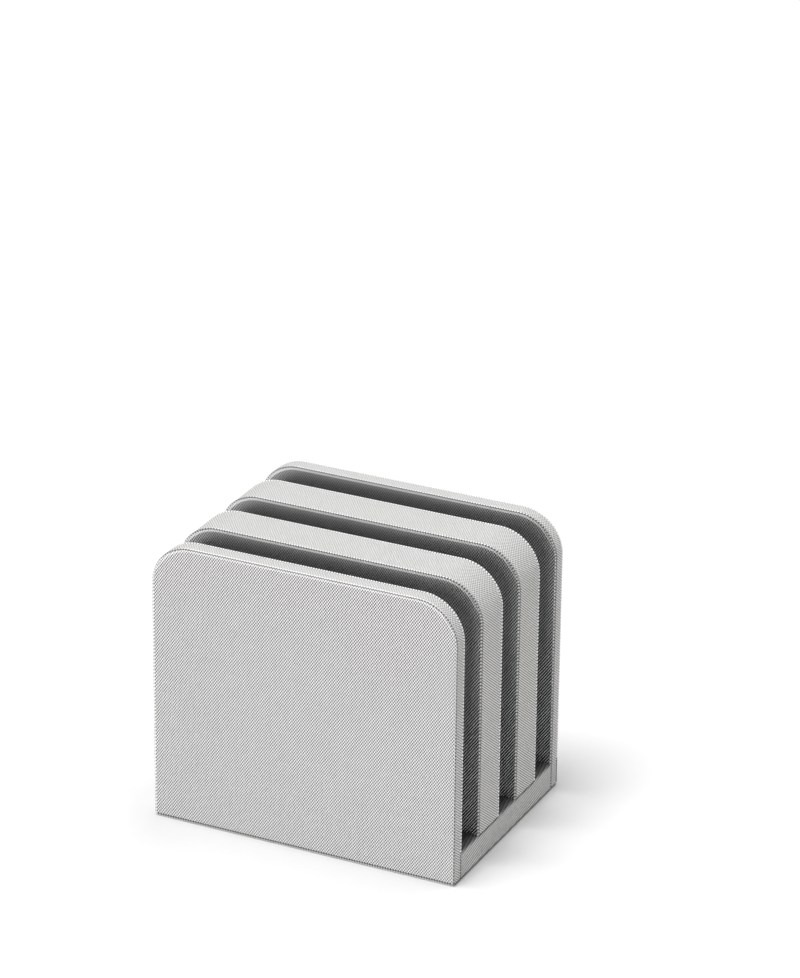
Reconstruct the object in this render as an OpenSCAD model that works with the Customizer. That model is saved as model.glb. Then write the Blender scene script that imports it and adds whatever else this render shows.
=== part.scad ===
// Lid rack: two thin walls and two thick dividers stand on a base board and leave three slots,
// open at the top and at both ends. Every board is covered in canvas: a piece on each face, whose
// edge is rolled over the board's edge, and a strip sewn between the two rolls. A rolled hem runs
// round the foot.
// X runs along the slots, Y from the front wall to the rear wall, Z up from the table.

/* [Rack] */
// Length of the walls and dividers, end to end
rack_w = 165; // [120:1:240]
// Height of the walls and dividers above the table
rack_h = 150; // [100:1:220]
// Radius of their rounded top corners
corner_r = 22; // [8:1:40]

/* [Walls, dividers and slots] */
// Thickness of the front and rear walls, canvas included
wall_t = 8.5; // [6:0.5:14]
// Thickness of each divider, canvas included
divider_t = 24; // [14:0.5:36]
// Clear width of each slot, canvas to canvas
slot_w = 19; // [12:0.5:36]
// Height of the slots' floor above the table
base_h = 15; // [11:0.5:26]
// Radius of the fold where the base's canvas turns down its two sides
base_fold_r = 1.2; // [0.9:0.1:2.5]

/* [Canvas and seams] */
// Thickness of the canvas
cloth_t = 0.8; // [0.5:0.05:0.85]
// Diameter of the roll that ends the canvas at each edge of a wall or divider
seam_d = 1; // [0.95:0.05:1.6]
// How far the flat canvas runs into that roll
seam_lap = 0.15; // [0.1:0.05:0.3]
// Open groove between the hem of a face's canvas and what the board stands on
hem_gap = 0.4; // [0.2:0.1:0.8]
// Thickness of the felt sheet under the rack, and of the rolled hem round it
lining_t = 1.5; // [1:0.1:1.9]
// Corner radius of that hem, seen from above
hem_r = 2; // [2:0.5:6]

/* [Screws] */
// Diameter of the screws' shanks
screw_d = 4; // [3:0.5:5]
// Diameter of their countersunk heads
screw_head_d = 8; // [6:0.5:9]
// Length of the screws that hold the walls to the base
wall_screw_l = 30; // [22:1:34]
// Distance between neighbouring wall screws
wall_screw_pitch = 55; // [44:1:58]
// Length of the screws that hold the dividers to the base
divider_screw_l = 40; // [28:1:60]
// Distance between the two screws of a divider
divider_screw_pitch = 60; // [40:1:70]

/* [Hidden] */
$fn = 48;
rack_d = 2 * wall_t + 3 * slot_w + 2 * divider_t;
base_d = rack_d - 2 * wall_t;
board_top = base_h - cloth_t;
wall_screw_z = (lining_t + board_top) / 2;
divider_y = (slot_w + divider_t) / 2;
cut = 1;
canvas = [0.77, 0.77, 0.75];
strip_canvas = [0.84, 0.84, 0.82];
base_canvas = [0.62, 0.62, 0.60];
felt = [0.45, 0.45, 0.44];
fibreboard = [0.72, 0.60, 0.45];
steel = [0.70, 0.70, 0.72];

// Each upright board: its name, thickness, the place of its front face and of its lower edge
UPRIGHTS = [
    ["front_wall", wall_t, -rack_d / 2, lining_t],
    ["divider_1", divider_t, -divider_y - divider_t / 2, base_h],
    ["divider_2", divider_t, divider_y - divider_t / 2, base_h],
    ["rear_wall", wall_t, rack_d / 2 - wall_t, lining_t]
];

// Outline of an upright: square below, rounded at the top, drawn in by inset
module outline(foot, inset) {
    half = rack_w / 2 - inset;
    top = rack_h - inset;
    r = corner_r - inset;
    translate([-half, foot]) square([2 * half, top - r - foot]);
    translate([r - half, foot]) square([2 * (half - r), top - foot]);
    for (side = [-1, 1]) translate([side * (half - r), top - r]) circle(r);
}

// Stands an outline up, from front to front + depth
module upright(front, depth) {
    translate([0, front + depth, 0]) rotate([90, 0, 0]) linear_extrude(depth) children();
}

// Countersunk screw, its head's top at the origin and its tip down the Z axis
module screw(length) {
    sink = (screw_head_d - screw_d) / 2;
    translate([0, 0, -length]) cylinder(d = screw_d, h = length);
    translate([0, 0, -sink]) cylinder(d1 = screw_d, d2 = screw_head_d, h = sink);
}

// Three screws through each wall into the ends of the base, their heads under the canvas
module wall_screw_set() {
    for (x = [-1, 0, 1] * wall_screw_pitch, end = [0, 1])
        mirror([0, end, 0]) translate([x, cloth_t - rack_d / 2, wall_screw_z])
            rotate([90, 0, 0]) screw(wall_screw_l);
}

// Two screws up through the base into each divider, their heads above the lining
module divider_screw_set() {
    for (x = [-0.5, 0.5] * divider_screw_pitch, y = [-1, 1] * divider_y)
        translate([x, y, lining_t]) rotate([180, 0, 0]) screw(divider_screw_l);
}

// Board inside a wall or divider, its edges stepped back to leave room for the rolled seams
module board(u) {
    color(fibreboard) difference() {
        union() {
            upright(u[2] + seam_d, u[1] - 2 * seam_d) outline(u[3], cloth_t);
            upright(u[2] + cloth_t, u[1] - 2 * cloth_t) outline(u[3], seam_d);
        }
        wall_screw_set();
        divider_screw_set();
    }
}

// Roll along one edge of an upright: up one side, over the top and down the other side
module rolled_edge(y, foot) {
    in = seam_d / 2;
    leg = rack_h - corner_r - foot;
    run = rack_w - 2 * corner_r;
    translate([-run / 2, y, rack_h - in]) rotate([0, 90, 0]) cylinder(d = seam_d, h = run);
    for (side = [0, 1]) mirror([side, 0, 0]) {
        translate([rack_w / 2 - in, y, foot]) cylinder(d = seam_d, h = leg);
        translate([run / 2, y, rack_h - corner_r]) rotate([90, 0, 0])
            rotate_extrude(angle = 90) translate([corner_r - in, 0]) circle(d = seam_d);
    }
}

// Canvas on one face of a wall or divider, with its edge rolled over the edge of the board
module face_canvas(u, rear) {
    flat_y = rear ? u[2] + u[1] - cloth_t : u[2];
    roll_y = rear ? u[2] + u[1] - seam_d / 2 : u[2] + seam_d / 2;
    color(canvas) difference() {
        union() {
            upright(flat_y, cloth_t) outline(u[3] + hem_gap, seam_d - seam_lap);
            rolled_edge(roll_y, u[3]);
        }
        wall_screw_set();
    }
}

// Strip round the edge of a wall or divider, sewn between the rolls of its two face pieces
module edge_strip(u) {
    color(strip_canvas) upright(u[2] + seam_d, u[1] - 2 * seam_d) difference() {
        outline(u[3], 0);
        outline(u[3] - cut, cloth_t);
    }
}

// Board under the slots, between the two walls
module base_board() {
    color(fibreboard) difference() {
        translate([cloth_t - rack_w / 2, -base_d / 2, lining_t])
            cube([rack_w - 2 * cloth_t, base_d, board_top - lining_t]);
        wall_screw_set();
        divider_screw_set();
    }
}

// Canvas over the base, folded down its two open sides
module base_canvas() {
    half = rack_w / 2;
    color(base_canvas) difference() {
        upright(-base_d / 2, base_d) difference() {
            union() {
                translate([-half, lining_t]) square([rack_w, base_h - base_fold_r - lining_t]);
                translate([base_fold_r - half, lining_t])
                    square([rack_w - 2 * base_fold_r, base_h - lining_t]);
                for (side = [-1, 1])
                    translate([side * (half - base_fold_r), base_h - base_fold_r])
                        circle(base_fold_r);
            }
            translate([cloth_t - half, lining_t - cut])
                square([rack_w - 2 * cloth_t, board_top - lining_t + cut]);
        }
        divider_screw_set();
    }
}

// Felt sheet that the boards stand on, inside the rolled hem
module bottom_lining() {
    x = rack_w / 2 - lining_t;
    y = rack_d / 2 - lining_t;
    r = hem_r - lining_t;
    color(felt) linear_extrude(lining_t) {
        square([2 * (x - r), 2 * y], center = true);
        square([2 * x, 2 * (y - r)], center = true);
        for (i = [-1, 1], j = [-1, 1]) translate([i * (x - r), j * (y - r)]) circle(r);
    }
}

// Rolled hem of canvas round the foot of the rack
module bottom_hem() {
    in = lining_t / 2;
    x = rack_w / 2 - hem_r;
    y = rack_d / 2 - hem_r;
    color(canvas) translate([0, 0, in]) for (turn = [0, 1]) mirror([turn, turn, 0])
        for (side = [0, 1]) mirror([0, side, 0]) {
            run = turn == 0 ? x : y;
            off = turn == 0 ? y : x;
            translate([-run, off + hem_r - in, 0]) rotate([0, 90, 0])
                cylinder(d = lining_t, h = 2 * run);
            translate([run, off, 0]) rotate_extrude(angle = 90)
                translate([hem_r - in, 0]) circle(d = lining_t);
        }
}

module wall_screws() { color(steel) wall_screw_set(); }

module divider_screws() { color(steel) divider_screw_set(); }

for (u = UPRIGHTS) {
    board(u);
    face_canvas(u, false);
    face_canvas(u, true);
    edge_strip(u);
}
base_board();
base_canvas();
bottom_lining();
bottom_hem();
wall_screws();
divider_screws();
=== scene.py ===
import math
import bmesh
import bpy
from mathutils import Matrix, Vector


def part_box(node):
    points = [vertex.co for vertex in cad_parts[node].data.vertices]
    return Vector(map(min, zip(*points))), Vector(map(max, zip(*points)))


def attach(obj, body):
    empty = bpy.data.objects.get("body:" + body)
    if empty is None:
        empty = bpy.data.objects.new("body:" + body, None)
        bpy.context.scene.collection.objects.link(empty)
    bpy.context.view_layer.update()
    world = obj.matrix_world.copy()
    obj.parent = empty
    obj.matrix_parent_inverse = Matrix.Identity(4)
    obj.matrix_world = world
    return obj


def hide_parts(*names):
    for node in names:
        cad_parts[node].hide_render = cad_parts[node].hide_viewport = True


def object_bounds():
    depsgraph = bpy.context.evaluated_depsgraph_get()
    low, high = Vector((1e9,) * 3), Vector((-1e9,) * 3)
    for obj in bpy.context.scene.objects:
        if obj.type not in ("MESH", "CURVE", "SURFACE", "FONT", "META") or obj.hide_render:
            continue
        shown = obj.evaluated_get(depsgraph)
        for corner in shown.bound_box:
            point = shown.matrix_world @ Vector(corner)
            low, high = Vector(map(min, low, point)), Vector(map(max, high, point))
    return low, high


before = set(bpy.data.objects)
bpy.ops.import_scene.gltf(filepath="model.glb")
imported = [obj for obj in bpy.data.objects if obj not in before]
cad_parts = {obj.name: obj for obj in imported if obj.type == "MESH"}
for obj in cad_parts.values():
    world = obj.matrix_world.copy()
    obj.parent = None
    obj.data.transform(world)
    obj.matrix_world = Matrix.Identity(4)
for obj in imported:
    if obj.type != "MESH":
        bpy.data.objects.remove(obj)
cad_low, cad_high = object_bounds()

# The camera stands to the right of the rack and above it, and looks down into the slots with a
# long lens.
MM = 0.001
camera_place = Vector((0.8755, -1.7650, 1.0304))
camera_turn = math.radians(25.81)
camera_pitch = math.radians(23.58)
camera_roll = math.radians(0.59)

camera_data = bpy.data.cameras.new("camera")
camera_data.sensor_width = 36
camera_data.lens = 162.3
camera_data.clip_end = 50
camera = bpy.data.objects.new("camera", camera_data)
bpy.context.scene.collection.objects.link(camera)
camera.matrix_world = (
    Matrix.Translation(camera_place)
    @ Matrix.Rotation(camera_turn, 4, "Z")
    @ Matrix.Rotation(math.pi / 2 - camera_pitch, 4, "X")
    @ Matrix.Rotation(camera_roll, 4, "Z")
)
bpy.context.scene.camera = camera
bpy.context.scene.view_settings.view_transform = "Standard"


# Studio light: a soft lamp high up in front and to the left and one high up behind light the tops.
# A low soft lamp lights the front and a weak low one the right side. The room shows as plain white.
def add_node(tree, kind, links=(), **settings):
    made = tree.nodes.new("ShaderNode" + kind)
    for name, value in settings.items():
        setattr(made, name, value)
    for key, value in links:
        if isinstance(value, bpy.types.NodeSocket):
            tree.links.new(value, made.inputs[key])
        else:
            made.inputs[key].default_value = value
    return made


def calc(tree, operation, *values):
    return add_node(tree, "Math", list(enumerate(values)), operation=operation).outputs[0]


def seen_directly(tree):
    path = add_node(tree, "LightPath")
    straight = calc(tree, "MAXIMUM", path.outputs["Is Camera Ray"], path.outputs["Is Glossy Ray"])
    return calc(tree, "MAXIMUM", straight, path.outputs["Is Transmission Ray"])


def add_lamp(name, turn, height, strength, spread):
    """A soft lamp far away: its turn from straight in front to the right and its height above
    the floor, both in degrees."""
    turn, height = math.radians(turn), math.radians(height)
    direction = Vector((
        math.sin(turn) * math.cos(height),
        -math.cos(turn) * math.cos(height),
        math.sin(height),
    ))
    data = bpy.data.lights.new(name, "SUN")
    data.energy = strength
    data.angle = math.radians(spread)
    lamp = bpy.data.objects.new(name, data)
    lamp.rotation_mode = "QUATERNION"
    lamp.rotation_quaternion = direction.to_track_quat("Z", "Y")
    bpy.context.scene.collection.objects.link(lamp)


add_lamp("top_lamp", turn=-44, height=75, strength=2.42, spread=30)
add_lamp("back_lamp", turn=160, height=75, strength=1.32, spread=30)
add_lamp("front_lamp", turn=-15, height=5, strength=1.96, spread=20)
add_lamp("right_lamp", turn=78, height=12, strength=0.80, spread=25)

room = bpy.data.worlds.new("room")
room.use_nodes = True
room.node_tree.nodes.clear()
room_white = add_node(
    room.node_tree,
    "Background",
    [("Color", (1, 1, 1, 1)), ("Strength", seen_directly(room.node_tree))],
)
add_node(room.node_tree, "OutputWorld", [("Surface", room_white.outputs[0])])
bpy.context.scene.world = room


# Floor: a pale matt sheet far wider than the view. It throws light back up at the rack, and under
# the lamps it is bright enough to show as white but for the rack's soft shadow.
def new_material(name):
    material = bpy.data.materials.new(name)
    material.use_nodes = True
    material.node_tree.nodes.clear()
    return material, material.node_tree


floor_reach = 6
floor_colour = (0.84, 0.84, 0.84, 1)
floor_material, tree = new_material("floor")
matt = add_node(tree, "BsdfDiffuse", [("Color", floor_colour)])
add_node(tree, "OutputMaterial", [("Surface", matt.outputs[0])])

bm = bmesh.new()
bmesh.ops.create_grid(bm, x_segments=1, y_segments=1, size=floor_reach)
floor_mesh = bpy.data.meshes.new("floor")
bm.to_mesh(floor_mesh)
bm.free()
floor_mesh.materials.append(floor_material)
floor = bpy.data.objects.new("floor", floor_mesh)
bpy.context.scene.collection.objects.link(floor)


# Boards: raw fibreboard inside each wall and divider and under the slots. The cloth covers them
# on every side. Their shape is the frame's own, and only the fibre and its colour are added.
def blend(tree, mask, first, second):
    """The first colour where a mask is 0, the second where it is 1."""
    first, second = ((*c, 1) if isinstance(c, tuple) else c for c in (first, second))
    return add_node(tree, "Mix", [(0, mask), (6, first), (7, second)], data_type="RGBA").outputs[2]


def noise(tree, place, scale, detail):
    links = [("Vector", place), ("Scale", scale), ("Detail", detail)]
    return add_node(tree, "TexNoise", links).outputs[0]


def bump(tree, relief, height):
    return add_node(tree, "Bump", [("Distance", relief), ("Height", height)]).outputs[0]


def finish_material(tree, *sockets):
    shader = add_node(tree, "BsdfPrincipled", sockets)
    add_node(tree, "OutputMaterial", [("Surface", shader.outputs[0])])


def dress_node(name, material):
    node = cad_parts[name]
    node.data.materials.clear()
    node.data.materials.append(material)


board_colour = (0.50, 0.39, 0.27)
board_speck = (0.36, 0.26, 0.17)
board_relief = 0.1 * MM
fibre_scale = 900
board_material, tree = new_material("fibreboard")
place = add_node(tree, "TexCoord").outputs["Object"]
fibre = noise(tree, place, fibre_scale, detail=6)
finish_material(
    tree,
    ("Base Color", blend(tree, fibre, board_speck, board_colour)),
    ("Roughness", 0.9),
    ("Normal", bump(tree, board_relief, fibre)),
)

UPRIGHTS = ["front_wall", "divider_1", "divider_2", "rear_wall"]
for upright in UPRIGHTS:
    dress_node(upright + "_board", board_material)
dress_node("base_board", board_material)


# Screws: countersunk steel, six through the walls into the base and four up into the dividers.
# They lie under the cloth too. Their zinc is finely brushed.
def stretch(tree, place, scale):
    return add_node(tree, "Mapping", [("Vector", place), ("Scale", scale)]).outputs[0]


zinc_colour = (0.62, 0.62, 0.64, 1)
zinc_brushing = (400, 400, 4000)
zinc_material, tree = new_material("zinc")
place = add_node(tree, "TexCoord").outputs["Object"]
brushed = noise(tree, stretch(tree, place, zinc_brushing), 1, detail=3)
gloss = add_node(tree, "MapRange", [("Value", brushed), ("To Min", 0.25), ("To Max", 0.5)]).outputs[0]
finish_material(tree, ("Base Color", zinc_colour), ("Metallic", 1), ("Roughness", gloss))
for node_name in ("wall_screws", "divider_screws"):
    dress_node(node_name, zinc_material)


# Face canvas: the piece of coarse canvas glued to each face of a wall or divider, a plain weave
# whose floats slant up to the right. Its rim turns down a little into the seam. In the slots the
# yarn's colour holds painted shade away from the edges, and painted light low down.
warp_pitch = 0.70 * MM
weft_pitch = 0.93 * MM
cloth_thickness = 0.8 * MM
seam_lap = 0.15 * MM
corner_radius = 22 * MM
corner_steps = 24
half_width = (cad_high.x - cad_low.x) / 2
rack_top = cad_high.z
quarter = math.pi / 2
arc_length = corner_radius * quarter
run_length = 2 * (half_width - corner_radius)
tiny = 0.001 * MM

drift_scale = 160
cloud_scale = 60
cloud_share = 0.3
middle_shade = 1.15
warp_streaks = (650, 45, 0)
weft_streaks = (45, 500, 0)


def split(tree, value):
    return add_node(tree, "SeparateXYZ", [(0, value)]).outputs


def scaled(tree, value, factor):
    links = [(0, value), ("Scale", factor)]
    return add_node(tree, "VectorMath", links, operation="SCALE").outputs[0]


def weave_group():
    """Canvas weave. Yarn is 1 on a float and 0 in a gap, Tone is a slow change of shade."""
    group = bpy.data.node_groups.new("canvas_weave", "ShaderNodeTree")
    sockets = group.interface
    sockets.new_socket("Place", in_out="INPUT", socket_type="NodeSocketVector")
    for name in ("Warp Pitch", "Weft Pitch", "Level", "Strong", "Weak", "Wander", "Slub"):
        sockets.new_socket(name, in_out="INPUT", socket_type="NodeSocketFloat")
    for name in ("Yarn", "Tone", "Height"):
        sockets.new_socket(name, in_out="OUTPUT", socket_type="NodeSocketFloat")
    given = group.nodes.new("NodeGroupInput").outputs
    drift = add_node(
        group, "TexNoise", [("Vector", given["Place"]), ("Scale", drift_scale), ("Detail", 1)]
    )
    centred = add_node(
        group, "VectorMath", [(0, drift.outputs["Color"]), (1, (0.5, 0.5, 0.5))], operation="SUBTRACT"
    )
    moved = scaled(group, centred.outputs[0], given["Wander"])
    wavy = add_node(group, "VectorMath", [(0, given["Place"]), (1, moved)], operation="ADD")
    yarns = split(group, wavy.outputs[0])
    across = calc(group, "DIVIDE", yarns[0], given["Warp Pitch"])
    along = calc(group, "DIVIDE", yarns[1], given["Weft Pitch"])
    half_turn_down = calc(group, "MULTIPLY", calc(group, "SUBTRACT", across, along), math.pi)
    half_turn_up = calc(group, "MULTIPLY", calc(group, "ADD", across, along), math.pi)
    strong = calc(group, "MULTIPLY", calc(group, "COSINE", half_turn_down), given["Strong"])
    weak = calc(group, "MULTIPLY", calc(group, "COSINE", half_turn_up), given["Weak"])
    height = calc(group, "ADD", calc(group, "ADD", strong, weak), given["Level"])
    streaked = calc(
        group,
        "ADD",
        noise(group, stretch(group, given["Place"], warp_streaks), 1, detail=1),
        noise(group, stretch(group, given["Place"], weft_streaks), 1, detail=1),
    )
    clouds = noise(group, given["Place"], cloud_scale, detail=2)
    mixed = calc(group, "MULTIPLY_ADD", clouds, cloud_share, streaked)
    slow = calc(group, "MULTIPLY", calc(group, "SUBTRACT", mixed, middle_shade), given["Slub"])
    result = group.nodes.new("NodeGroupOutput").inputs
    group.links.new(add_node(group, "Clamp", [(0, height)]).outputs[0], result["Yarn"])
    group.links.new(calc(group, "ADD", slow, 1), result["Tone"])
    group.links.new(calc(group, "ADD", height, slow), result["Height"])
    return group


weave = weave_group()


def woven(tree, laid_flat, pitches, level, strong, weak, wander, slub):
    """The weave on cloth laid flat. Its two pitches are the warp's and the weft's."""
    links = [
        ("Place", laid_flat),
        ("Warp Pitch", pitches[0]),
        ("Weft Pitch", pitches[1]),
        ("Level", level),
        ("Strong", strong),
        ("Weak", weak),
        ("Wander", wander),
        ("Slub", slub),
    ]
    return add_node(tree, "Group", links, node_tree=weave).outputs


def ramp(tree, value, low, high):
    """0 where a value is low, 1 where it is high."""
    return add_node(tree, "MapRange", [("Value", value), ("From Min", low), ("From Max", high)]).outputs[0]


def ramp_down(tree, value, low, high):
    """1 where a value is low, 0 where it is high."""
    return calc(tree, "SUBTRACT", 1, ramp(tree, value, low, high))


even_level = 0.5
even_floats = 0.42
canvas_wander = 0.02 * MM
canvas_slub = 0.06
canvas_relief = 0.14 * MM
cloth_roughness = 0.85
cloth_specular = 0.25


def cloth_material(name, yarn, gap, vary=None, relief=canvas_relief):
    """Woven cloth on the piece's own UV map, which is the cloth laid flat, in metres."""
    material, tree = new_material(name)
    laid_flat = add_node(tree, "UVMap", uv_map="cloth").outputs[0]
    look = {"yarn": yarn, "gap": gap, "level": even_level, "strong": even_floats, "weak": even_floats}
    if vary:
        look.update(vary(tree, laid_flat))
    cloth = woven(
        tree,
        laid_flat,
        (warp_pitch, weft_pitch),
        level=look["level"],
        strong=look["strong"],
        weak=look["weak"],
        wander=canvas_wander,
        slub=canvas_slub,
    )
    yarns = blend(tree, cloth["Yarn"], look["gap"], look["yarn"])
    finish_material(
        tree,
        ("Base Color", scaled(tree, yarns, cloth["Tone"])),
        ("Roughness", cloth_roughness),
        ("Specular IOR Level", cloth_specular),
        ("Sheen Weight", 0.06),
        ("Sheen Roughness", 0.5),
        ("Normal", bump(tree, relief, cloth["Height"])),
    )
    return material


seam_starts = 1.8 * MM
seam_ends = 2.2 * MM
seam_fades = 7 * MM
seam_gone = 18 * MM


def face_places(tree, laid_flat):
    """How far below the top of its face a place lies, how far inside the rounded outline, and a
    mask that is 1 close to the top seam, where the yarns are pulled together."""
    place = split(tree, laid_flat)
    beside = calc(tree, "SUBTRACT", calc(tree, "ABSOLUTE", place[0]), half_width - corner_radius)
    above = calc(tree, "SUBTRACT", place[1], rack_top - corner_radius)
    turned = add_node(
        tree, "CombineXYZ", [(0, calc(tree, "MAXIMUM", beside, 0)), (1, calc(tree, "MAXIMUM", above, 0))]
    ).outputs[0]
    reach = add_node(tree, "VectorMath", [(0, turned)], operation="LENGTH").outputs["Value"]
    depth = calc(tree, "SUBTRACT", corner_radius, reach)
    from_top = calc(tree, "SUBTRACT", rack_top, place[1])
    close = ramp_down(tree, depth, seam_starts, seam_ends)
    high = ramp_down(tree, from_top, seam_fades, seam_gone)
    return from_top, depth, calc(tree, "MULTIPLY", close, high)


fuller_at_seam = 0.3


def outside_weave(tree, laid_flat):
    seam = face_places(tree, laid_flat)[2]
    return {"level": calc(tree, "MULTIPLY_ADD", seam, fuller_at_seam, even_level)}


canvas_material = cloth_material(
    "canvas", yarn=(0.90, 0.886, 0.892), gap=(0.055, 0.055, 0.055), vary=outside_weave
)

# Painted light and shade in the slots: the yarn is lightest at the edges and greys into painted shade away
# from them. Low down it turns light again in thin bold floats on near-black gaps, as painted raking light.
slot_edge_yarn = (0.98, 0.98, 0.96)
slot_painted_shade_yarn = (0.43, 0.43, 0.425)
slot_painted_light_yarn = (0.95, 0.95, 0.94)
slot_relief = 0.3 * MM
shade_reach = 11 * MM
sides_from = 4 * MM
sides_quicker = 0.9
bolder_from = 6 * MM
bolder_to = 30 * MM
low_from = 60 * MM
low_to = 112 * MM
slot_level = 0.4
slot_fuller_at_seam = 0.45
slot_thinner_below = -0.12
slot_thinner_low = -0.7
slot_floats = 0.22
slot_bolder_below = 0.35
slot_bolder_low = 1.4
slot_weak_floats = 0.3


def slot_weave(tree, laid_flat):
    """Inside the slots: painted shade greys the yarn away from the edges, and painted light lower down
    gives lighter, bolder, thinner floats.
    """
    from_top, depth, seam = face_places(tree, laid_flat)
    quicker = calc(
        tree, "MULTIPLY_ADD", ramp(tree, from_top, sides_from, corner_radius), sides_quicker, 1
    )
    painted_shade_mask = ramp(tree, calc(tree, "MULTIPLY", depth, quicker), 0, shade_reach)
    below = ramp(tree, from_top, bolder_from, bolder_to)
    low = ramp(tree, from_top, low_from, low_to)
    yarn_in_painted_shade = blend(tree, painted_shade_mask, slot_edge_yarn, slot_painted_shade_yarn)
    strong = calc(tree, "MULTIPLY_ADD", below, slot_bolder_below, slot_floats)
    at_seam = calc(tree, "MULTIPLY_ADD", seam, slot_fuller_at_seam, slot_level)
    level = calc(tree, "MULTIPLY_ADD", below, slot_thinner_below, at_seam)
    return {
        "yarn": blend(tree, seam, blend(tree, low, yarn_in_painted_shade, slot_painted_light_yarn), slot_edge_yarn),
        "level": calc(tree, "MULTIPLY_ADD", low, slot_thinner_low, level),
        "strong": calc(tree, "MULTIPLY_ADD", low, slot_bolder_low, strong),
        "weak": slot_weak_floats,
    }


# The slots' canvas has near-black gaps, as painted shade.
inner_material = cloth_material(
    "inner_canvas_painted_light_and_shade", slot_edge_yarn, gap=(0.01, 0.01, 0.01), vary=slot_weave, relief=slot_relief
)


def outline_place(co, foot):
    """Where a point lies on the rack's outline, up the left side, over the top and down the
    right: how far along, how deep below the outline, and the way outwards."""
    leg = rack_top - corner_radius - foot
    beside = abs(co.x) - (half_width - corner_radius)
    above = co.z - (rack_top - corner_radius)
    side = math.copysign(1, co.x)
    if above <= 0:
        out = Vector((side, 0, 0))
        depth = half_width - abs(co.x)
        along = co.z - foot
    elif beside <= 0:
        out = Vector((0, 0, 1))
        depth = rack_top - co.z
        along = leg + arc_length + run_length / 2 - abs(co.x)
    else:
        out = Vector((side * beside, 0, above)).normalized()
        depth = corner_radius - math.hypot(beside, above)
        along = leg + corner_radius * math.atan2(above, beside)
    total = 2 * (leg + arc_length) + run_length
    return (along if co.x < 0 else total - along), depth, out


def block(low, high):
    bm = bmesh.new()
    bmesh.ops.create_cube(bm, size=1)
    bmesh.ops.scale(bm, vec=high - low, verts=bm.verts)
    bmesh.ops.translate(bm, vec=(low + high) / 2, verts=bm.verts)
    return bm


def rounded_slab(low, high, radius):
    """A block whose two top corners, seen from the front, are rounded."""
    bm = block(low, high)
    corners = [
        edge
        for edge in bm.edges
        if all(v.co.z > high.z - tiny for v in edge.verts)
        and abs(edge.verts[0].co.x - edge.verts[1].co.x) < tiny
    ]
    bmesh.ops.bevel(
        bm,
        geom=corners,
        offset=radius,
        segments=corner_steps,
        profile=0.5,
        affect="EDGES",
        material=-1,
    )
    return bm


def cut_across(bm, axis, low, high, step):
    """Cuts a mesh at even steps along an axis, so that it has points to bend at."""
    cuts = max(1, round((high - low) / step))
    normal = Vector((0, 0, 0))
    normal[axis] = 1
    for number in range(1, cuts):
        point = normal * (low + (high - low) * number / cuts)
        geometry = bm.verts[:] + bm.edges[:] + bm.faces[:]
        bmesh.ops.bisect_plane(bm, geom=geometry, dist=tiny, plane_co=point, plane_no=normal)


def lay_cloth(bm, flat_place):
    """Writes the UV map that says where each point was on the flat cloth."""
    layer = bm.loops.layers.uv.new("cloth")
    for vert in bm.verts:
        place = flat_place(vert.co)
        for loop in vert.link_loops:
            loop[layer].uv = place


def make_piece(bm, name, material, node, sharp=50):
    mesh = bpy.data.meshes.new(name)
    bm.to_mesh(mesh)
    bm.free()
    mesh.materials.append(material)
    mesh.shade_smooth()
    mesh.set_sharp_from_angle(angle=math.radians(sharp))
    piece = bpy.data.objects.new(name, mesh)
    bpy.context.scene.collection.objects.link(piece)
    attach(piece, "root")
    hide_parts(node)
    return piece


rim_round = 0.35 * MM
rim_rings = (0.5 * MM, 0.8 * MM, 1.4 * MM, 2.4 * MM)
rim_fall = 0.10 * MM
rim_reach = 5 * MM
grid_step = 5 * MM


def face_canvas(node, facing):
    low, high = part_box(node)
    outer = low.y if facing < 0 else high.y
    inner = outer - facing * cloth_thickness
    inset = (high.y - low.y) - seam_lap
    foot = low.z
    bm = rounded_slab(
        Vector((inset - half_width, min(outer, inner), foot)),
        Vector((half_width - inset, max(outer, inner), rack_top - inset)),
        corner_radius - inset,
    )
    rim = [e for e in bm.edges if all(abs(v.co.y - outer) < tiny for v in e.verts)]
    bmesh.ops.bevel(
        bm, geom=rim, offset=rim_round, segments=3, profile=0.5, affect="EDGES", material=-1
    )
    bm.normal_update()
    middle = [f for f in bm.faces if f.normal.y * facing > 0.999 and f.calc_area() > rim_reach**2]
    for ring in rim_rings:
        bmesh.ops.inset_region(bm, faces=middle, thickness=ring, use_even_offset=True)
    cut_across(bm, 0, -half_width, half_width, grid_step)
    cut_across(bm, 2, foot, rack_top, grid_step)
    for vert in bm.verts:
        if abs(vert.co.y - outer) < 1.5 * rim_round:
            depth = min(outline_place(vert.co, foot)[1], vert.co.z - foot)
            fall = max(0, 1 - depth / rim_reach) ** 2
            vert.co.y -= facing * rim_fall * fall
    lay_cloth(bm, lambda co: (-facing * co.x, co.z))
    return bm


# Rolled edge: the border of each face's canvas, turned and stitched down over the arris of the
# board. The yarns that pass over the roll show as a row of beads, with a row of dark stitch holes.
# The rows are placed as they show in the main view, so they differ from side to side.
roll_sides = 8
bead_on_leg = 2 * weft_pitch
bead_on_run = 2 * warp_pitch
bead_on_arc = (bead_on_leg + bead_on_run) / 2
shortest_step = 0.8 * bead_on_run
rings_per_bead = 4
bead_swell = 0.04
slot_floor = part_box("base_canvas")[1].z
outside_rows = (0.9, -0.35, 0.45)
slot_front_rows = (1.1, -0.3, 1.1)
slot_rear_rows = (0.1, 0.1, 0.1)
row_beside_base = 1.4
front_holes_reach = 0.85
rear_holes_reach = 0.6


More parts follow.
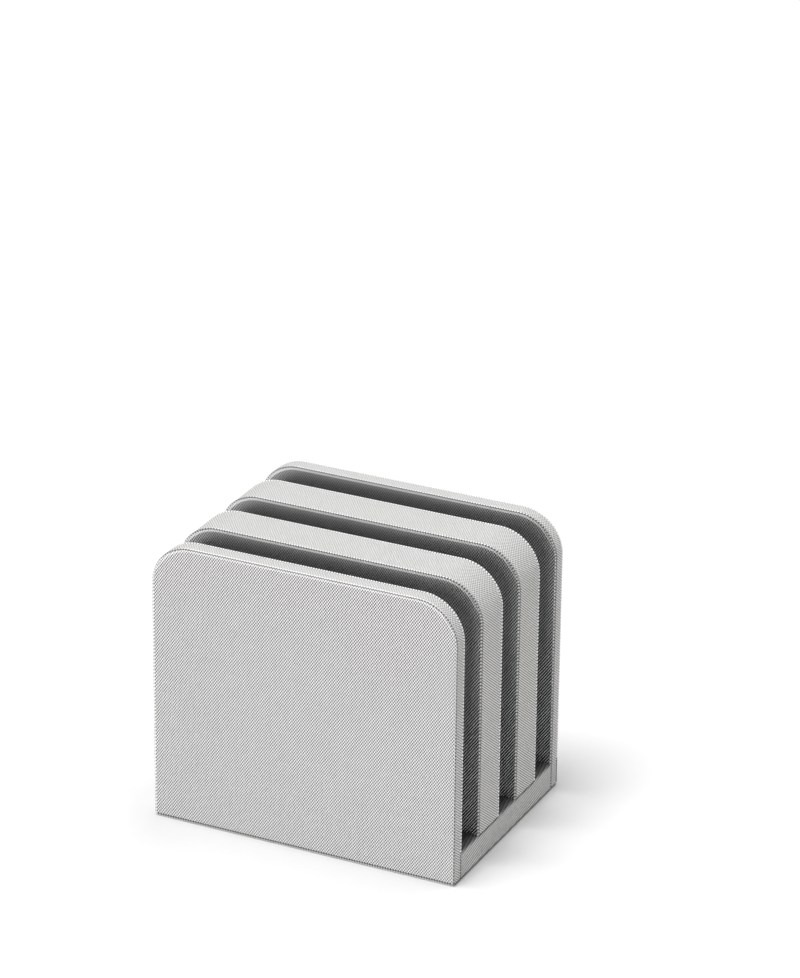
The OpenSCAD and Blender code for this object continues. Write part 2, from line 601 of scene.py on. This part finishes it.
def bead_number(along, foot):
    """How many beads lie before a place on the outline."""
    leg = rack_top - corner_radius - foot
    total = 2 * (leg + arc_length) + run_length
    near = min(along, total - along)
    beads = min(near, leg) / bead_on_leg
    beads += min(max(near - leg, 0), arc_length) / bead_on_arc
    beads += max(near - leg - arc_length, 0) / bead_on_run
    half = leg / bead_on_leg + arc_length / bead_on_arc + run_length / 2 / bead_on_run
    return beads if along < total / 2 else 2 * half - beads


def quarter_turns(sideways, outward):
    """How far round a roll a point lies: 0 straight sideways from the face, 1 straight outwards.
    The count starts again where the roll is hidden."""
    hidden = 1.75 * quarter
    turn = (math.atan2(outward, sideways) + hidden) % (2 * math.pi) - hidden
    return turn / quarter


def sweep(bm, ring, steps, way=(0, 0, 0), angle=0, centre=(0, 0, 0), axis=(0, 1, 0)):
    """Carries a ring of edges along a straight line or round a centre."""
    made = bmesh.ops.spin(
        bm,
        geom=ring,
        cent=centre,
        axis=axis,
        dvec=Vector(way) / steps,
        angle=angle,
        steps=steps,
        use_merge=False,
    )
    return made["geom_last"]


def ring_beads(bm):
    """Cuts each step of a sweep into as many rings as a bead needs."""
    lengths = [e for e in bm.edges if e.calc_length() > shortest_step]
    bmesh.ops.subdivide_edges(bm, edges=lengths, cuts=rings_per_bead - 1)


def rolled_edge(node, facing, hole_rows, holes_reach):
    """One roll. The rows of holes are given for its left side, its top and its right side, in
    quarter turns round the roll."""
    low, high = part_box(node)
    left_row, top_row, right_row = hole_rows
    radius = (high.y - low.y) / 2
    middle_y = (low.y + high.y) / 2
    foot = low.z
    leg = rack_top - corner_radius - foot
    turn_x = half_width - corner_radius
    turn_z = rack_top - corner_radius
    bm = bmesh.new()
    bmesh.ops.create_circle(bm, cap_ends=False, segments=roll_sides, radius=radius)
    bmesh.ops.translate(bm, vec=(radius - half_width, middle_y, foot), verts=bm.verts)
    on_leg = round(leg / bead_on_leg)
    on_arc = round(arc_length / bead_on_arc)
    on_run = round(run_length / bead_on_run)
    ring = bm.verts[:] + bm.edges[:]
    ring = sweep(bm, ring, on_leg, way=(0, 0, leg))
    ring = sweep(bm, ring, on_arc, angle=quarter, centre=(-turn_x, middle_y, turn_z))
    ring = sweep(bm, ring, on_run, way=(run_length, 0, 0))
    ring = sweep(bm, ring, on_arc, angle=quarter, centre=(turn_x, middle_y, turn_z))
    sweep(bm, ring, on_leg, way=(0, 0, -leg))
    bmesh.ops.holes_fill(bm, edges=[e for e in bm.edges if e.is_boundary], sides=roll_sides)
    ring_beads(bm)
    bmesh.ops.recalc_face_normals(bm, faces=bm.faces)

    def roll_place(co):
        along, depth, out = outline_place(co, foot)
        beads = bead_number(along, foot)
        turns = quarter_turns((co.y - middle_y) * facing, radius - depth)
        side_row = left_row if out.x < 0 else right_row
        if facing > 0 and co.z < slot_floor:
            side_row = row_beside_base
        row = top_row + (side_row - top_row) * abs(out.x)
        return beads, (turns - row) / holes_reach

    lay_cloth(bm, roll_place)
    for vert in bm.verts:
        along, depth, out = outline_place(vert.co, foot)
        swell = bead_swell * math.cos(2 * math.pi * bead_number(along, foot))
        vert.co += swell * ((radius - depth) * out + Vector((0, vert.co.y - middle_y, 0)))
    return bm


gap_deepest = -0.8
gap_ends = 0.1
row_core = 0.5
hole_depth = 0.72
hole_swing = -0.22


def bead_material(name, yarn, gap, hole):
    """Yarns over a roll. The UV map is the bead number, and the way round the roll from the row of
    holes, which ends at 1."""
    material, tree = new_material(name)
    place = split(tree, add_node(tree, "UVMap", uv_map="cloth").outputs[0])
    wave = calc(tree, "COSINE", calc(tree, "MULTIPLY", place[0], 2 * math.pi))
    beads = blend(tree, ramp(tree, wave, gap_deepest, gap_ends), gap, yarn)
    row = ramp_down(tree, calc(tree, "ABSOLUTE", place[1]), row_core, 1)
    holes = calc(tree, "MULTIPLY", row, calc(tree, "MULTIPLY_ADD", wave, hole_swing, hole_depth))
    finish_material(
        tree,
        ("Base Color", blend(tree, holes, beads, hole)),
        ("Roughness", cloth_roughness),
        ("Specular IOR Level", cloth_specular),
    )
    return material


roll_material = bead_material(
    "rolled_canvas", yarn=(0.88, 0.88, 0.87), gap=(0.60, 0.60, 0.59), hole=(0.01, 0.01, 0.01)
)
# The slots' rolls are the same cloth as the outside ones, but with lighter beads and darker gaps: painted
# light on the beads and painted shade between them.
slot_roll_painted_light_material = bead_material(
    "slot_rolled_canvas", yarn=(0.98, 0.98, 0.97), gap=(0.20, 0.20, 0.198), hole=(0.04, 0.04, 0.04)
)

for upright in UPRIGHTS:
    for face, facing in (("front", -1), ("rear", 1)):
        node = upright + "_" + face + "_canvas"
        outside = node in ("front_wall_front_canvas", "rear_wall_rear_canvas")
        slot_rows = slot_front_rows if facing < 0 else slot_rear_rows
        roll = make_piece(
            rolled_edge(
                node,
                facing,
                hole_rows=outside_rows if outside else slot_rows,
                holes_reach=front_holes_reach if facing < 0 else rear_holes_reach,
            ),
            upright + "_" + face + "_roll",
            roll_material if outside else slot_roll_painted_light_material,
            node,
        )
        canvas = make_piece(
            face_canvas(node, facing),
            upright + "_" + face + "_cloth",
            canvas_material if outside else inner_material,
            node,
        )


# Edge strip: one band of the same canvas up one side of a wall or divider, over the top and down
# the other, sewn between the two rolls. It is cut across, so its floats slant the other way.
strip_fall = 0.35 * MM
strip_round = 0.8 * MM
strip_swell = 0.12 * MM
clear_of_seam = 1 * MM
strip_cuts = (0.12 * MM, 0.3 * MM, 0.55 * MM, 0.9 * MM, 1.4 * MM, 2.2 * MM)


def open_up(bm):
    """Leaves the top and the two sides of a block."""
    bm.normal_update()
    open_faces = [f for f in bm.faces if abs(f.normal.y) > 0.9 or f.normal.z < -0.9]
    bmesh.ops.delete(bm, geom=open_faces, context="FACES")


def thicken(bm, thickness):
    bmesh.ops.recalc_face_normals(bm, faces=bm.faces)
    bmesh.ops.solidify(bm, geom=bm.faces[:], thickness=thickness)
    bmesh.ops.recalc_face_normals(bm, faces=bm.faces)


def edge_strip(node):
    low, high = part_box(node)
    foot = low.z
    bm = rounded_slab(low, high, corner_radius)
    open_up(bm)
    for offset in strip_cuts:
        for y in (low.y + offset, high.y - offset):
            geometry = bm.verts[:] + bm.edges[:] + bm.faces[:]
            bmesh.ops.bisect_plane(
                bm, geom=geometry, dist=tiny, plane_co=(0, y, 0), plane_no=(0, 1, 0)
            )
    cut_across(bm, 2, foot, rack_top - corner_radius, grid_step)
    cut_across(bm, 0, corner_radius - half_width, half_width - corner_radius, grid_step)
    half_strip = (high.y - low.y) / 2
    middle_y = (high.y + low.y) / 2
    from_middle = rack_top - corner_radius - foot + arc_length + run_length / 2
    from_seam = low.y - (clear_of_seam if node.startswith("front_wall") else 0)
    lay_cloth(bm, lambda co: (outline_place(co, foot)[0] - from_middle, co.y - from_seam))
    for vert in bm.verts:
        out = outline_place(vert.co, foot)[2]
        to_edge = half_strip - abs(vert.co.y - middle_y)
        rim = min(1, max(0, 1 - to_edge / strip_round))
        fall = strip_fall * (1 - math.sqrt(1 - rim**2))
        crown = strip_swell * (1 - to_edge / half_strip) ** 2
        vert.co -= out * (fall + crown)
    thicken(bm, cloth_thickness - strip_fall - strip_swell)
    return bm


# Over the top the strip's gaps are painted light, grey instead of near black, and its yarn is toned down,
# as light from above filling the gaps.
strip_yarn = (0.97, 0.965, 0.945)
strip_gap = (0.06, 0.06, 0.059)
strip_top_lit_yarn = (0.79, 0.79, 0.78)
strip_top_lit_gap = (0.43, 0.43, 0.425)
strip_relief = 0.22 * MM
strip_seam_core = 0.3 * MM
strip_seam_ends = 0.9 * MM
thinner_at_seam = -0.4


def painted_light_on_top(tree, laid_flat):
    """Painted light over the top, around 0 of a strip's length: lighter gaps and greyer yarn stand for
    light from above filling the gaps. Down the sides the seam along the front of all but the front
    wall's shows as a dark line."""
    place = split(tree, laid_flat)
    past_top = ramp(tree, calc(tree, "ABSOLUTE", place[0]), run_length / 2, run_length / 2 + arc_length)
    seam = ramp_down(tree, place[1], strip_seam_core, strip_seam_ends)
    side_seam = calc(tree, "MULTIPLY", seam, past_top)
    return {
        "yarn": blend(tree, past_top, strip_top_lit_yarn, strip_yarn),
        "gap": blend(tree, past_top, strip_top_lit_gap, strip_gap),
        "level": calc(tree, "MULTIPLY_ADD", side_seam, thinner_at_seam, even_level),
    }


strip_material = cloth_material(
    "strip_canvas", strip_yarn, strip_gap, vary=painted_light_on_top, relief=strip_relief
)
for upright in UPRIGHTS:
    node = upright + "_edge_strip"
    strip = make_piece(edge_strip(node), upright + "_strip", strip_material, node)


# Base canvas: a finer, smoother cloth over the floor of the slots, folded down the two open sides
# of the base. Its yarn runs from front to back in long streaks. On the slots' floor and round the
# folds its colour is darkened far below the cloth's own, as painted shade.
base_fold = 1.2 * MM
base_low, base_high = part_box("base_canvas")
bm = block(base_low, base_high)
open_up(bm)
folds = [e for e in bm.edges if not e.is_boundary]
bmesh.ops.bevel(bm, geom=folds, offset=base_fold, segments=6, profile=0.5, affect="EDGES", material=-1)
cut_across(bm, 1, base_low.y, base_high.y, grid_step)


def base_place(co):
    """Front to back, and across the cloth from the middle of the base down its sides."""
    beside = half_width - base_fold
    if abs(co.x) <= beside:
        across = abs(co.x)
    elif co.z >= base_high.z - base_fold:
        across = beside + base_fold * math.atan2(abs(co.x) - beside, co.z - base_high.z + base_fold)
    else:
        across = beside + base_fold * quarter + base_high.z - base_fold - co.z
    return co.y, math.copysign(across, co.x)


lay_cloth(bm, base_place)
thicken(bm, cloth_thickness)

rib_pitches = (4.4 * MM, 0.88 * MM)
fine_pitches = (0.68 * MM, 0.83 * MM)
base_slub = 0.1
base_relief = 0.1 * MM
speck_size = (500, 1400, 0)
speck_share = 1.0
streak_size = (60, 580, 0)
streak_share = 0.3
base_level = -1.17
base_gap = (0.14, 0.14, 0.136)
base_yarn = (0.80, 0.80, 0.785)
base_material, tree = new_material("base_cloth")
laid_flat = add_node(tree, "UVMap", uv_map="cloth").outputs[0]
ribs = woven(
    tree, laid_flat, rib_pitches, even_level, strong=0, weak=0.4, wander=0.1 * MM, slub=base_slub
)
fine = woven(
    tree, laid_flat, fine_pitches, even_level, strong=0.5, weak=0.25, wander=0.05 * MM, slub=base_slub
)
both = calc(tree, "ADD", ribs["Yarn"], fine["Yarn"])
speck = noise(tree, stretch(tree, laid_flat, speck_size), 1, detail=2)
streak = noise(tree, stretch(tree, laid_flat, streak_size), 1, detail=3)
specked = calc(tree, "MULTIPLY_ADD", speck, speck_share, both)
streak_shade = calc(tree, "MULTIPLY_ADD", streak, streak_share, base_level)
base_height = add_node(tree, "Clamp", [(0, calc(tree, "ADD", specked, streak_shade))]).outputs[0]
base_mix = blend(tree, base_height, base_gap, base_yarn)

# Painted shade: the slots' floor is darkened to 3 % of the cloth's colour, lightening to 20 % towards the
# folds, and the shade lifts round each fold. Under the dividers it reaches further round the fold, as a
# painted crease shadow at their foot.
divider_low, divider_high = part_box("divider_2_board")
divider_blur = 0.5 * MM
fold_shade_from = half_width - base_fold + 0.4 * MM
fold_shade_to = half_width + 1.0 * MM
later_under_divider = 0.7 * MM
floor_lightens_from = half_width - 8 * MM
floor_dark = 0.03
floor_lighter = 0.17
base_split = split(tree, laid_flat)
lengthwise = calc(tree, "ABSOLUTE", base_split[0])
crosswise = calc(tree, "ABSOLUTE", base_split[1])
past_front = ramp(tree, lengthwise, divider_low.y - divider_blur, divider_low.y)
past_rear = ramp(tree, lengthwise, divider_high.y, divider_high.y + divider_blur)
under_divider = calc(tree, "SUBTRACT", past_front, past_rear)
fold_start = calc(tree, "MULTIPLY_ADD", under_divider, later_under_divider, fold_shade_from)
round_fold = ramp(tree, crosswise, fold_start, fold_shade_to)
near_fold = ramp(tree, crosswise, floor_lightens_from, half_width - base_fold)
floor_shade = calc(tree, "MULTIPLY_ADD", calc(tree, "POWER", near_fold, 2), floor_lighter, floor_dark)
slot_shade = calc(tree, "MULTIPLY_ADD", round_fold, calc(tree, "SUBTRACT", 1, floor_shade), floor_shade)
finish_material(
    tree,
    ("Base Color", scaled(tree, base_mix, calc(tree, "MULTIPLY", fine["Tone"], slot_shade))),
    ("Roughness", cloth_roughness),
    ("Specular IOR Level", cloth_specular),
    ("Normal", bump(tree, base_relief, base_height)),
)
base_cloth = make_piece(bm, "base_cloth", base_material, "base_canvas")


# Bottom lining: a sheet of dense grey felt that the boards stand on. Its rim lies inside the hem.
# It is cut out flat, with its four corners rounded, and laid in.
lining_low, lining_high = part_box("bottom_lining")
lining_corner = 0.5 * MM
bm = block(lining_low, lining_high)
uprights_of_lining = [e for e in bm.edges if abs(e.verts[0].co.z - e.verts[1].co.z) > tiny]
bmesh.ops.bevel(
    bm, geom=uprights_of_lining, offset=lining_corner, segments=4, profile=0.5, affect="EDGES", material=-1
)
cut_across(bm, 0, lining_low.x, lining_high.x, grid_step)
cut_across(bm, 1, lining_low.y, lining_high.y, grid_step)
lay_cloth(bm, lambda co: (co.x, co.y))

felt_dark = (0.20, 0.20, 0.19)
felt_light = (0.40, 0.40, 0.39)
felt_relief = 0.2 * MM
fuzz_scale = 1400
felt_material, tree = new_material("felt")
laid_flat = add_node(tree, "UVMap", uv_map="cloth").outputs[0]
fuzz = noise(tree, laid_flat, fuzz_scale, detail=5)
finish_material(
    tree,
    ("Base Color", blend(tree, fuzz, felt_dark, felt_light)),
    ("Roughness", 0.95),
    ("Sheen Weight", 0.2),
    ("Normal", bump(tree, felt_relief, fuzz)),
)
lining = make_piece(bm, "bottom_felt", felt_material, "bottom_lining")


# Hem: a rolled edge of greyer canvas round the foot of the rack, whose yarns show as beads. A dark
# row of stitch holes runs along it above its middle, higher at the front and the rear.
hem_low, hem_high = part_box("bottom_hem")
hem_corner = 2 * MM
hem_corner_steps = 6
hem_radius = (hem_high.z - hem_low.z) / 2
hem_x = hem_high.x - hem_radius
hem_y = hem_high.y - hem_radius
hem_turn = hem_corner - hem_radius
hem_row_beside = 0.08
hem_row_front = 0.65
hem_holes_reach = 0.65
bm = bmesh.new()
bmesh.ops.create_circle(
    bm,
    cap_ends=False,
    segments=roll_sides,
    radius=hem_radius,
    matrix=Matrix.Translation((hem_turn - hem_x, -hem_y, hem_radius)) @ Matrix.Rotation(quarter, 4, "Y"),
)
ring = bm.verts[:] + bm.edges[:]
hem_run = 2 * (hem_x - hem_turn)
hem_side = 2 * (hem_y - hem_turn)
hem_sides = [
    ((hem_run, 0, 0), (1, -1)),
    ((0, hem_side, 0), (1, 1)),
    ((-hem_run, 0, 0), (-1, 1)),
    ((0, -hem_side, 0), (-1, -1)),
]
for way, (side_x, side_y) in hem_sides:
    bead_length = bead_on_leg if way[1] else bead_on_run
    ring = sweep(bm, ring, round(Vector(way).length / bead_length), way=way)
    turn_centre = (side_x * hem_run / 2, side_y * hem_side / 2, hem_radius)
    ring = sweep(bm, ring, hem_corner_steps, angle=quarter, centre=turn_centre, axis=(0, 0, 1))
bmesh.ops.remove_doubles(bm, verts=bm.verts, dist=2 * tiny)
ring_beads(bm)
bmesh.ops.recalc_face_normals(bm, faces=bm.faces)


def hem_place(co):
    """Bead number along the hem, and the way round its roll from the row of holes."""
    beside = hem_x - abs(co.x) < hem_y - abs(co.y)
    along = co.y if beside else co.x
    sideways = abs(co.x) - hem_x if beside else abs(co.y) - hem_y
    turns = quarter_turns(sideways, co.z - hem_radius)
    row = hem_row_beside if beside else hem_row_front
    bead_length = bead_on_leg if beside else bead_on_run
    return along / bead_length, (turns - row) / hem_holes_reach


lay_cloth(bm, hem_place)
for vert in bm.verts:
    centre = Vector((
        math.copysign(min(abs(vert.co.x), hem_x), vert.co.x),
        math.copysign(min(abs(vert.co.y), hem_y), vert.co.y),
        hem_radius,
    ))
    if hem_x - abs(vert.co.x) < hem_radius:
        centre.x = math.copysign(hem_x, vert.co.x)
    if hem_y - abs(vert.co.y) < hem_radius:
        centre.y = math.copysign(hem_y, vert.co.y)
    swell = bead_swell * math.cos(2 * math.pi * hem_place(vert.co)[0])
    vert.co += swell * (vert.co - centre)
    vert.co.z = max(0, vert.co.z)
hem_material = bead_material(
    "hem_canvas", yarn=(0.58, 0.58, 0.57), gap=(0.30, 0.30, 0.295), hole=(0.04, 0.04, 0.038)
)
make_piece(bm, "bottom_roll", hem_material, "bottom_hem")
